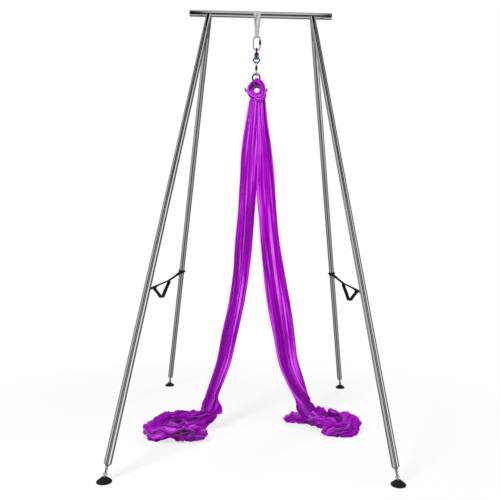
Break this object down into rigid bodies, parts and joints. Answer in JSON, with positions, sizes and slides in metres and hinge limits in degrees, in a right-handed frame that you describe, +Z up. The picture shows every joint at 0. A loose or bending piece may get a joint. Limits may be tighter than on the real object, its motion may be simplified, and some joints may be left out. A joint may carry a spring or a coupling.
{
  "type": "aerial silk rig",
  "caption": "Free-standing aerial rig: a chromed crossbar on splayed tubular legs, with a gathered silk hung from a sling, carabiners, a swivel and a rescue eight.",
  "frame": {"origin": "on the floor under the middle of the crossbar, the centre of the four feet", "axes": "+X along the crossbar to the picture's right, +Y away from the camera, +Z up"},
  "size_m": [1.624, 2.18, 2.9536],
  "materials": {
    "chrome": "bright chrome plate on round steel tube",
    "cap_plastic": "black moulded tube cap",
    "fitting_steel": "zinc plated turned steel",
    "foot_rubber": "black moulded rubber",
    "strap_webbing": "black woven webbing",
    "sling_webbing": "light grey woven webbing",
    "carabiner_steel": "polished steel",
    "red_anodised": "red anodised",
    "blue_anodised": "light blue anodised",
    "black_anodised": "black anodised",
    "silk": "violet satin stretch cloth, gathered"
  },
  "bodies": {
    "rig_frame": {"crossbar": "chrome", "crossbar_cap_left": "cap_plastic", "crossbar_cap_right": "cap_plastic", "leg_socket_left": "chrome", "leg_socket_right": "chrome", "leg_front_left_upper": "chrome", "leg_front_left_middle": "chrome", "leg_front_left_lower": "chrome", "leg_plug_front_left": "fitting_steel", "leg_front_right_upper": "chrome", "leg_front_right_middle": "chrome", "leg_front_right_lower": "chrome", "leg_plug_front_right": "fitting_steel", "leg_back_left_upper": "chrome", "leg_back_left_middle": "chrome", "leg_back_left_lower": "chrome", "leg_plug_back_left": "fitting_steel", "leg_back_right_upper": "chrome", "leg_back_right_middle": "chrome", "leg_back_right_lower": "chrome", "leg_plug_back_right": "fitting_steel", "side_strap_left": "strap_webbing", "handle_loop_left": "strap_webbing", "strap_screw_left": "fitting_steel", "strap_bolt_left": "fitting_steel", "side_strap_right": "strap_webbing", "handle_loop_right": "strap_webbing", "strap_screw_right": "fitting_steel", "strap_bolt_right": "fitting_steel", "sling": "sling_webbing"},
    "foot_stud_front_left": {"foot_stud_front_left": "fitting_steel", "foot_nut_front_left": "fitting_steel"},
    "foot_pad_front_left": {"foot_pad_front_left": "foot_rubber"},
    "foot_stud_front_right": {"foot_stud_front_right": "fitting_steel", "foot_nut_front_right": "fitting_steel"},
    "foot_pad_front_right": {"foot_pad_front_right": "foot_rubber"},
    "foot_stud_back_left": {"foot_stud_back_left": "fitting_steel", "foot_nut_back_left": "fitting_steel"},
    "foot_pad_back_left": {"foot_pad_back_left": "foot_rubber"},
    "foot_stud_back_right": {"foot_stud_back_right": "fitting_steel", "foot_nut_back_right": "fitting_steel"},
    "foot_pad_back_right": {"foot_pad_back_right": "foot_rubber"},
    "upper_carabiner": {"upper_carabiner_frame": "carabiner_steel", "upper_carabiner_pin": "fitting_steel"},
    "upper_gate": {"upper_carabiner_gate": "carabiner_steel"},
    "upper_sleeve": {"upper_carabiner_sleeve": "red_anodised"},
    "lower_carabiner": {"lower_carabiner_frame": "carabiner_steel", "lower_carabiner_pin": "fitting_steel"},
    "lower_gate": {"lower_carabiner_gate": "carabiner_steel"},
    "lower_sleeve": {"lower_carabiner_sleeve": "red_anodised"},
    "swivel_top": {"swivel_upper_eye": "red_anodised", "swivel_axle": "fitting_steel", "swivel_bearing": "fitting_steel"},
    "swivel_bottom": {"swivel_lower_eye": "blue_anodised"},
    "silk": {"rescue_eight": "black_anodised", "silk_hitch": "silk", "silk_tail_left": "silk", "silk_tail_right": "silk", "silk_heap_left": "silk", "silk_heap_right": "silk"}
  },
  "joints": [
    {"name": "foot_screw_front_left", "type": "slide", "parent": "rig_frame", "child": "foot_stud_front_left", "axis": [-0.1286, -0.3368, -0.9327], "range_m": [-0.034, 0.03]},
    {"name": "foot_tilt_front_left", "type": "hinge", "parent": "foot_stud_front_left", "child": "foot_pad_front_left", "pos_m": [-0.772, -1.05, 0.02], "axis": [0.9342, -0.3568, 0], "range_deg": [-44, 2]},
    {"name": "foot_screw_front_right", "type": "slide", "parent": "rig_frame", "child": "foot_stud_front_right", "axis": [0.1286, -0.3368, -0.9327], "range_m": [-0.034, 0.03]},
    {"name": "foot_tilt_front_right", "type": "hinge", "parent": "foot_stud_front_right", "child": "foot_pad_front_right", "pos_m": [0.772, -1.05, 0.02], "axis": [0.9342, 0.3568, 0], "range_deg": [-44, 2]},
    {"name": "foot_screw_back_left", "type": "slide", "parent": "rig_frame", "child": "foot_stud_back_left", "axis": [-0.1286, 0.3368, -0.9327], "range_m": [-0.034, 0.03]},
    {"name": "foot_tilt_back_left", "type": "hinge", "parent": "foot_stud_back_left", "child": "foot_pad_back_left", "pos_m": [-0.772, 1.05, 0.02], "axis": [-0.9342, -0.3568, 0], "range_deg": [-44, 2]},
    {"name": "foot_screw_back_right", "type": "slide", "parent": "rig_frame", "child": "foot_stud_back_right", "axis": [0.1286, 0.3368, -0.9327], "range_m": [-0.034, 0.03]},
    {"name": "foot_tilt_back_right", "type": "hinge", "parent": "foot_stud_back_right", "child": "foot_pad_back_right", "pos_m": [0.772, 1.05, 0.02], "axis": [-0.9342, 0.3568, 0], "range_deg": [-44, 2]},
    {"name": "upper_carabiner_tilt", "type": "hinge", "parent": "rig_frame", "child": "upper_carabiner", "pos_m": [-0.026, 0, 2.7468], "axis": [0, 1, 0], "range_deg": [-20, 20]},
    {"name": "swivel_plumb", "type": "hinge", "parent": "upper_carabiner", "child": "swivel_top", "pos_m": [-0.026, 0, 2.6968], "axis": [0, 1, 0], "range_deg": [-34, 34]},
    {"name": "swivel_spin", "type": "hinge", "parent": "swivel_top", "child": "swivel_bottom", "pos_m": [-0.026, 0, 2.6316], "axis": [0, 0, 1], "continuous": true},
    {"name": "lower_carabiner_tilt", "type": "hinge", "parent": "swivel_bottom", "child": "lower_carabiner", "pos_m": [-0.026, 0, 2.5638], "axis": [1, 0, 0], "range_deg": [-20, 20]},
    {"name": "silk_plumb", "type": "hinge", "parent": "lower_carabiner", "child": "silk", "pos_m": [-0.026, 0, 2.5138], "axis": [1, 0, 0], "range_deg": [-34, 34]},
    {"name": "upper_gate_swing", "type": "hinge", "parent": "upper_carabiner", "child": "upper_gate", "pos_m": [-0.0025, 0, 2.69922], "axis": [0, -1, 0], "range_deg": [0, 25], "stiffness_Nm_per_rad": 0.2, "springref_deg": -22.92},
    {"name": "upper_sleeve_twist", "type": "hinge", "parent": "upper_gate", "child": "upper_sleeve", "pos_m": [-0.0025, 0, 2.728], "axis": [0, 0, 1], "range_deg": [0, 90], "stiffness_Nm_per_rad": 0.02, "springref_deg": -22.92},
    {"name": "lower_gate_swing", "type": "hinge", "parent": "lower_carabiner", "child": "lower_gate", "pos_m": [-0.026, -0.0235, 2.56138], "axis": [1, 0, 0], "range_deg": [0, 25], "stiffness_Nm_per_rad": 0.2, "springref_deg": -22.92},
    {"name": "lower_sleeve_twist", "type": "hinge", "parent": "lower_gate", "child": "lower_sleeve", "pos_m": [-0.026, -0.0235, 2.5325], "axis": [0, 0, 1], "range_deg": [0, 90], "stiffness_Nm_per_rad": 0.02, "springref_deg": -22.92}
  ],
  "couplings": [
    {"joint": "swivel_plumb", "follows": "upper_carabiner_tilt", "ratio": -1},
    {"joint": "silk_plumb", "follows": "lower_carabiner_tilt", "ratio": -1}
  ]
}
